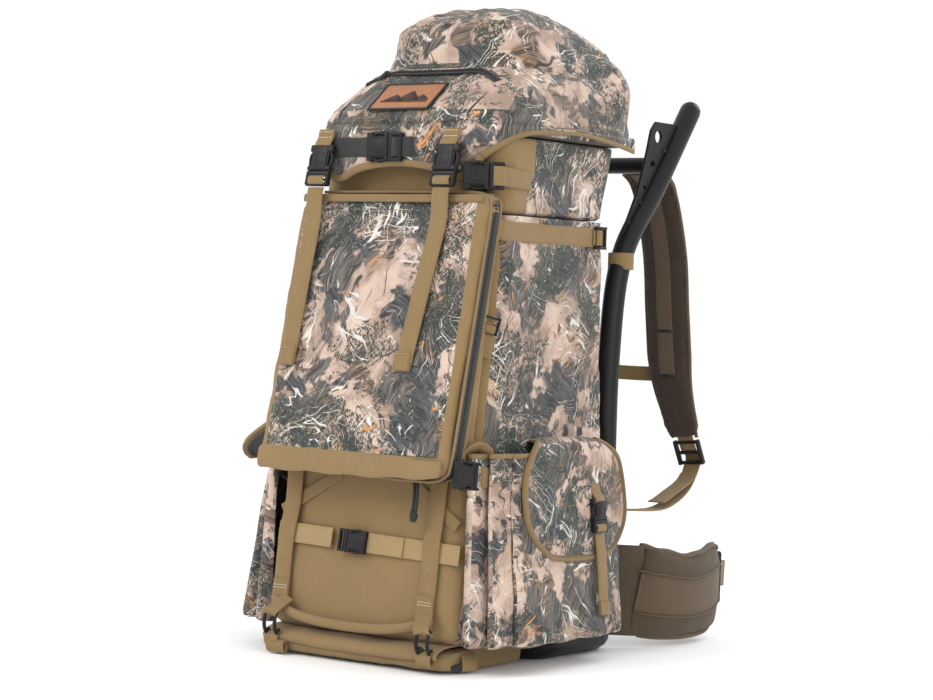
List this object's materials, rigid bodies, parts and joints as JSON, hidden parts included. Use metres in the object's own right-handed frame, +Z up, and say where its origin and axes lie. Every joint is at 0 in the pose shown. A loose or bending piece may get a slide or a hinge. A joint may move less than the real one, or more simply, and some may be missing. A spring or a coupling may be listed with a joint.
{
  "type": "hunting backpack",
  "caption": "Soft hunting pack with a lid, front and side pockets on a moulded frame, with shoulder straps, sternum strap and hip belt.",
  "frame": {"origin": "middle of the flat underside of the frame's base, on the floor, under the pack", "axes": "+Z up, -Y out of the front pocket, +X to the right seen from the front, the harness towards +Y"},
  "size_m": [0.5152, 0.6241, 0.8424],
  "materials": {
    "camo_cloth": "matte",
    "tan_cloth": "matte",
    "tan_webbing": "matte",
    "black_webbing": "matte",
    "brown_padding": "matte",
    "black_plastic": "satin",
    "patch_leather": "matte"
  },
  "bodies": {
    "pack": {"frame_rail_right": "black_plastic", "frame_rail_left": "black_plastic", "frame_web_right": "black_plastic", "frame_web_left": "black_plastic", "crossbar_top": "black_plastic", "frame_base": "black_plastic", "back_panel": "brown_padding", "lumbar_pad": "brown_padding", "main_bag": "camo_cloth", "collar": "tan_cloth", "front_pocket": "camo_cloth", "load_shelf": "tan_cloth", "side_pocket_right": "camo_cloth", "side_pocket_left": "camo_cloth", "lower_strap_right": "tan_webbing", "lower_strap_left": "tan_webbing", "lower_cross_strap": "tan_webbing", "lower_buckle_socket": "black_plastic", "side_strap_right": "tan_webbing", "side_strap_left": "tan_webbing"},
    "lid": {"lid": "camo_cloth", "patch": "patch_leather", "lid_cross_strap": "black_webbing", "cross_buckle_socket": "black_plastic", "lid_socket_right": "black_plastic", "lid_socket_left": "black_plastic"},
    "cross_buckle_prongs": {"cross_buckle_prongs": "black_plastic"},
    "lid_zip_slider": {"lid_zip_slider": "black_plastic"},
    "lid_zip_pull": {"lid_zip_pull": "black_plastic"},
    "lower_buckle_prongs": {"lower_buckle_prongs": "black_plastic"},
    "pocket_zip_slider": {"pocket_zip_slider": "black_plastic"},
    "pocket_zip_pull": {"pocket_zip_pull": "black_plastic"},
    "sternum_prongs": {"sternum_prongs": "black_plastic", "sternum_webbing_right": "tan_webbing"},
    "hip_prongs": {"hip_prongs": "black_plastic"},
    "hip_socket": {"hip_socket": "black_plastic"},
    "lid_prongs_right": {"lid_prongs_right": "black_plastic"},
    "front_strap_right": {"front_strap_right": "tan_webbing"},
    "lid_prongs_left": {"lid_prongs_left": "black_plastic"},
    "front_strap_left": {"front_strap_left": "tan_webbing"},
    "shelf_hook_right": {"shelf_hook_right": "black_plastic"},
    "shelf_hook_left": {"shelf_hook_left": "black_plastic"},
    "side_flap_right": {"side_flap_right": "camo_cloth", "flap_socket_right": "black_plastic"},
    "flap_prongs_right": {"flap_prongs_right": "black_plastic"},
    "side_flap_left": {"side_flap_left": "camo_cloth", "flap_socket_left": "black_plastic"},
    "flap_prongs_left": {"flap_prongs_left": "black_plastic"},
    "flap_strap_right": {"flap_strap_right": "tan_webbing"},
    "shoulder_right": {"shoulder_strap_right": "brown_padding", "strap_lock_right": "black_plastic", "lower_webbing_right": "tan_webbing"},
    "shoulder_left": {"shoulder_strap_left": "brown_padding", "strap_lock_left": "black_plastic", "lower_webbing_left": "tan_webbing", "sternum_webbing_left": "tan_webbing", "sternum_socket": "black_plastic"},
    "hip_right": {"hip_wing_right": "brown_padding"},
    "hip_left": {"hip_wing_left": "brown_padding"}
  },
  "joints": [
    {"name": "lid_hinge", "type": "hinge", "parent": "pack", "child": "lid", "pos_m": [0, 0.172, 0.6524], "axis": [-1, 0, 0], "range_deg": [0, 44]},
    {"name": "lid_zip_slide", "type": "slide", "parent": "lid", "child": "lid_zip_slider", "axis": [1, 0, 0], "range_m": [0, 0.165]},
    {"name": "lid_zip_pull_swing", "type": "hinge", "parent": "lid_zip_slider", "child": "lid_zip_pull", "pos_m": [-0.076, -0.07521, 0.73913], "axis": [-1, 0, 0], "range_deg": [0, 100]},
    {"name": "cross_buckle_release", "type": "slide", "parent": "lid", "child": "cross_buckle_prongs", "axis": [1, 0, 0], "range_m": [0, 0.024]},
    {"name": "lid_buckle_right_release", "type": "slide", "parent": "lid", "child": "lid_prongs_right", "axis": [0, -0.2334, -0.9724], "range_m": [0, 0.024]},
    {"name": "front_strap_right_swing", "type": "hinge", "parent": "lid_prongs_right", "child": "front_strap_right", "pos_m": [0.084, -0.15881, 0.58924], "axis": [-1, 0, 0], "range_deg": [0, 60]},
    {"name": "lid_buckle_left_release", "type": "slide", "parent": "lid", "child": "lid_prongs_left", "axis": [0, -0.2334, -0.9724], "range_m": [0, 0.024]},
    {"name": "front_strap_left_swing", "type": "hinge", "parent": "lid_prongs_left", "child": "front_strap_left", "pos_m": [-0.114, -0.15881, 0.58924], "axis": [-1, 0, 0], "range_deg": [0, 60]},
    {"name": "pocket_zip_slide", "type": "slide", "parent": "pack", "child": "pocket_zip_slider", "axis": [1, 0, 0], "range_m": [0, 0.03]},
    {"name": "pocket_zip_pull_swing", "type": "hinge", "parent": "pocket_zip_slider", "child": "pocket_zip_pull", "pos_m": [0.088, -0.19475, 0.2264], "axis": [1, 0, 0], "range_deg": [-60, 14]},
    {"name": "lower_buckle_release", "type": "slide", "parent": "pack", "child": "lower_buckle_prongs", "axis": [-0.9996, 0, 0.029], "range_m": [0, 0.02]},
    {"name": "shelf_hook_right_swing", "type": "hinge", "parent": "pack", "child": "shelf_hook_right", "pos_m": [0.12, -0.2112, 0.05], "axis": [-1, 0, 0], "range_deg": [0, 70]},
    {"name": "shelf_hook_left_swing", "type": "hinge", "parent": "pack", "child": "shelf_hook_left", "pos_m": [-0.12, -0.2112, 0.05], "axis": [-1, 0, 0], "range_deg": [0, 70]},
    {"name": "side_flap_right_hinge", "type": "hinge", "parent": "pack", "child": "side_flap_right", "pos_m": [0.1504, -0.008, 0.28], "axis": [0, -1, 0], "range_deg": [0, 70]},
    {"name": "flap_buckle_right_release", "type": "slide", "parent": "side_flap_right", "child": "flap_prongs_right", "axis": [0.1116, 0, -0.9938], "range_m": [0, 0.018]},
    {"name": "side_flap_left_hinge", "type": "hinge", "parent": "pack", "child": "side_flap_left", "pos_m": [-0.1504, -0.008, 0.28], "axis": [0, 1, 0], "range_deg": [-48, 22]},
    {"name": "flap_buckle_left_release", "type": "slide", "parent": "side_flap_left", "child": "flap_prongs_left", "axis": [-0.8132, 0, -0.582], "range_m": [0, 0.018]},
    {"name": "flap_strap_right_swing", "type": "hinge", "parent": "flap_prongs_right", "child": "flap_strap_right", "pos_m": [0.20846, 0.034, 0.16329], "axis": [0, -1, 0], "range_deg": [0, 60]},
    {"name": "shoulder_right_swing", "type": "hinge", "parent": "pack", "child": "shoulder_right", "pos_m": [0.084, 0.27367, 0.645], "axis": [1, 0, 0], "range_deg": [0, 60]},
    {"name": "shoulder_left_swing", "type": "hinge", "parent": "pack", "child": "shoulder_left", "pos_m": [-0.084, 0.27367, 0.645], "axis": [1, 0, 0], "range_deg": [0, 60]},
    {"name": "sternum_buckle_release", "type": "slide", "parent": "shoulder_left", "child": "sternum_prongs", "axis": [1, 0, 0], "range_m": [0, 0.02]},
    {"name": "hip_wing_right_fold", "type": "hinge", "parent": "pack", "child": "hip_right", "pos_m": [0.152, 0.186, 0.077], "axis": [0, 0, 1], "range_deg": [-8, 15], "stiffness_Nm_per_rad": 1},
    {"name": "hip_prongs_swing", "type": "hinge", "parent": "hip_right", "child": "hip_prongs", "pos_m": [0.166, 0.392, 0.08], "axis": [0, 0, 1], "range_deg": [-10, 10]},
    {"name": "hip_wing_left_fold", "type": "hinge", "parent": "pack", "child": "hip_left", "pos_m": [-0.152, 0.186, 0.077], "axis": [0, 0, -1], "range_deg": [-8, 15], "stiffness_Nm_per_rad": 1},
    {"name": "hip_socket_swing", "type": "hinge", "parent": "hip_left", "child": "hip_socket", "pos_m": [-0.166, 0.392, 0.08], "axis": [0, 0, -1], "range_deg": [-10, 10]}
  ],
  "couplings": [
    {"joint": "shoulder_left_swing", "follows": "shoulder_right_swing", "ratio": 1}
  ]
}
